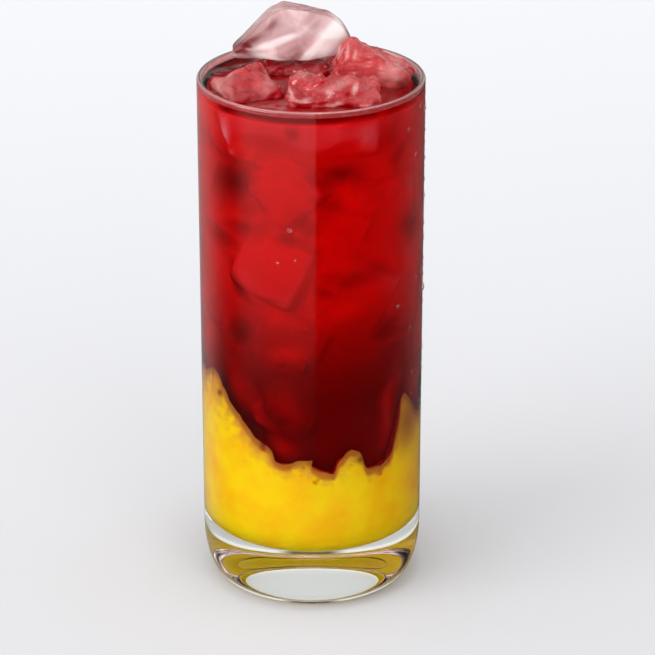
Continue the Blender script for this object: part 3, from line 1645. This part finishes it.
LEFT_PLACE = (-1.15, -0.75, 0.68)
LIGHTS = (
    StudioLight("softbox", 1.1, 16.0, LEFT_PLACE, turn_towards(LEFT_PLACE, (0.0, 0.0, 0.07))),
    StudioLight("fill", 0.9, 19.0, (0.6, -1.33, 0.16), (87, 24), mirrored=False),
    StudioLight("overhead", 0.17, 2.0, (0.03, -0.12, 1.25)),
)


@dataclass(frozen=True)
class Studio:
    """The camera, the pale floor, the lights and what the glass mirrors, as in the reference view."""

    camera_place: tuple[float, float, float] = (4.6 * MM, -914.7 * MM, 462 * MM)
    camera_tilt: float = 67.1  # degrees up from straight down
    lens: float = 189.7
    floor_half: float = 6.0
    floor_near: str = "#b1b1b4"
    floor_far: str = "#cacbce"
    left_glow: float = 1.7  # how bright the surroundings are, by side
    right_glow: float = 1.3
    right_mirror: float = 0.06  # the black card on the right, which only reflections show
    back_glow: float = 0.75
    low_back_glow: float = 0.1  # the dim band low behind, which the drink's level mirrors
    low_side_glow: float = 1.0  # what stands beside it, which the drink's edge at the glass mirrors
    card_glow: float = 0.5  # the pale card that the left of the wall mirrors, which fades downwards
    ceiling_mirror: float = 1.8  # the bright ceiling, which only the lip and the ice mirror
    behind_left: float = 0.36  # what the wall's left and right edges mirror
    behind_right: float = 0.1
    lights: tuple[StudioLight, ...] = LIGHTS

    def add_camera(self) -> None:
        """Set the camera at the reference view's angle."""
        data = bpy.data.cameras.new("camera")
        data.lens = self.lens
        data.sensor_width = 36.0
        camera = bpy.data.objects.new("camera", data)
        camera.location = self.camera_place
        camera.rotation_euler = (math.radians(self.camera_tilt), 0.0, 0.0)
        bpy.context.scene.collection.objects.link(camera)
        bpy.context.scene.camera = camera

    def add_floor(self) -> None:
        """Lay a plain pale floor at the foot."""
        half = self.floor_half
        corners = [(-half, -half, 0), (half, -half, 0), (half, half, 0), (-half, half, 0)]
        mesh = bpy.data.meshes.new("floor")
        mesh.from_pydata(corners, [], [(0, 1, 2, 3)])
        material, tree, place = new_tree("white_table")
        depth = add_node(tree, "ShaderNodeSeparateXYZ", {0: place}).outputs["Y"]
        spread = {"Value": depth, "From Min": -0.12, "From Max": 0.55}
        share = add_node(tree, "ShaderNodeMapRange", spread).outputs[0]
        tones = {0: share, 6: hex_to_linear(self.floor_near), 7: hex_to_linear(self.floor_far)}
        colour = add_node(tree, "ShaderNodeMix", tones, data_type="RGBA").outputs[2]
        look = {"Base Color": colour, "Roughness": 0.9, "Specular IOR Level": 0.1}
        put_out(tree, add_node(tree, "ShaderNodeBsdfPrincipled", look))
        mesh.materials.append(material)
        floor = bpy.data.objects.new("floor", mesh)
        floor.location.z = -0.02 * MM
        floor.visible_glossy = False
        bpy.context.scene.collection.objects.link(floor)

    def add_surroundings(self) -> None:
        """Light from all round, and what the glass mirrors: bright on the left, dark on the right."""
        world = bpy.data.worlds.new("white_studio")
        bpy.context.scene.world = world
        world.use_nodes = True
        tree = world.node_tree
        tree.nodes.clear()
        way = add_node(tree, "ShaderNodeTexCoord").outputs["Generated"]
        edge = math.radians(4.5)
        left = add_node(
            tree,
            "ShaderNodeVectorMath",
            {0: way, 1: (-math.cos(edge), -math.sin(edge), 0.0)},
            operation="DOT_PRODUCT",
        )
        left_share = add_node(
            tree,
            "ShaderNodeMapRange",
            {"Value": left.outputs["Value"], "From Min": -0.03, "From Max": 0.03},
            interpolation_type="SMOOTHSTEP",
        ).outputs[0]
        back = add_node(
            tree, "ShaderNodeVectorMath", {0: way, 1: (0.0, 1.0, 0.0)}, operation="DOT_PRODUCT"
        )
        back_share = add_node(
            tree,
            "ShaderNodeMapRange",
            {"Value": back.outputs["Value"], "From Min": 0.1, "From Max": 0.7},
            interpolation_type="SMOOTHSTEP",
        ).outputs[0]
        parts = add_node(tree, "ShaderNodeSeparateXYZ", {0: way})
        height = parts.outputs["Z"]
        aside = add_node(tree, "ShaderNodeMath", {0: parts.outputs["X"]}, operation="ABSOLUTE").outputs[0]
        low_glow = add_node(
            tree,
            "ShaderNodeMapRange",
            {
                "Value": aside,
                "From Min": 0.1,
                "From Max": 0.25,
                "To Min": self.low_back_glow,
                "To Max": self.low_side_glow,
            },
            interpolation_type="SMOOTHSTEP",
        ).outputs[0]
        above = add_node(
            tree, "ShaderNodeMapRange", {"Value": height, "From Min": -0.05, "From Max": 0.02}
        ).outputs[0]
        card = add_node(
            tree,
            "ShaderNodeMapRange",
            {
                "Value": height,
                "From Min": math.sin(math.radians(-24.5)),
                "From Max": math.sin(math.radians(-20.0)),
                "To Min": 0.02,
                "To Max": self.card_glow,
            },
        ).outputs[0]
        spread = {"Value": back.outputs["Value"], "From Min": -0.1, "From Max": -0.4}
        in_front = add_node(tree, "ShaderNodeMapRange", spread).outputs[0]
        below_front = card
        for share in (left_share, in_front):
            both = {0: below_front, 1: share}
            below_front = add_node(tree, "ShaderNodeMath", both, operation="MULTIPLY").outputs[0]
        sides = {0: left_share, 2: self.behind_right, 3: self.behind_left}
        below_behind = add_node(tree, "ShaderNodeMix", sides).outputs[0]
        ends = {0: back_share, 2: below_front, 3: below_behind}
        below = add_node(tree, "ShaderNodeMix", ends).outputs[0]
        mirrored = add_node(tree, "ShaderNodeLightPath").outputs["Is Glossy Ray"]
        glows = {0: mirrored, 2: self.right_glow, 3: self.right_mirror}
        right = add_node(tree, "ShaderNodeMix", glows).outputs[0]
        front = add_node(tree, "ShaderNodeMix", {0: left_share, 2: right, 3: self.left_glow}).outputs[0]
        behind = add_node(
            tree,
            "ShaderNodeMapRange",
            {
                "Value": height,
                "From Min": math.sin(math.radians(20.5)),
                "From Max": math.sin(math.radians(24.5)),
                "To Min": low_glow,
                "To Max": self.back_glow,
            },
            interpolation_type="SMOOTHSTEP",
        ).outputs[0]
        around = add_node(tree, "ShaderNodeMix", {0: back_share, 2: front, 3: behind}).outputs[0]
        zenith = add_node(
            tree,
            "ShaderNodeMapRange",
            {
                "Value": height,
                "From Min": math.sin(math.radians(35)),
                "From Max": math.sin(math.radians(50)),
                "To Max": 1.0,
            },
            interpolation_type="SMOOTHSTEP",
        ).outputs[0]
        ceiling = add_node(tree, "ShaderNodeMath", {0: mirrored, 1: zenith}, operation="MULTIPLY")
        mixed = {0: ceiling.outputs[0], 2: around, 3: self.ceiling_mirror}
        over = add_node(tree, "ShaderNodeMix", mixed).outputs[0]
        strength = add_node(tree, "ShaderNodeMix", {0: above, 2: below, 3: over})
        sky = add_node(
            tree, "ShaderNodeBackground", {"Color": (1.0, 1.0, 1.0, 1.0), "Strength": strength.outputs[0]}
        )
        add_node(tree, "ShaderNodeOutputWorld", {"Surface": sky.outputs[0]})

    def tune_render(self) -> None:
        """Plain colours, and enough bounces for light to cross the glass, the drink and the ice."""
        scene = bpy.context.scene
        scene.view_settings.view_transform = "Standard"
        scene.view_settings.look = "None"
        scene.cycles.max_bounces = 24
        scene.cycles.transmission_bounces = 20
        scene.cycles.glossy_bounces = 8
        scene.cycles.diffuse_bounces = 6
        scene.cycles.transparent_max_bounces = 16
        scene.cycles.sample_clamp_indirect = 6.0
        scene.cycles.use_denoising = True

    def build(self) -> None:
        """Set up everything that isn't part of the drink."""
        self.add_camera()
        self.add_floor()
        for light in self.lights:
            light.hang()
        self.add_surroundings()
        self.tune_render()


def main() -> None:
    """Build the drink in its tumbler, then the studio round it."""
    logging.basicConfig(level=logging.INFO, format="%(message)s")
    _, glass_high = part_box("glass_tumbler")
    _, drink_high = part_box("red_drink")
    tumbler = Tumbler(height=glass_high.z, rim_radius=glass_high.x)
    puree = MangoPuree(tumbler)
    tumbler.build(puree_level=puree.level, drink_level=drink_high.z)
    puree.build()
    RedDrink(tumbler, puree, level=drink_high.z).build()
    IceHeap().build()
    SunkenIce(tumbler, puree, level=drink_high.z).build()
    WallDew(tumbler).build()
    Studio().build()


if __name__ == "__main__":
    main()
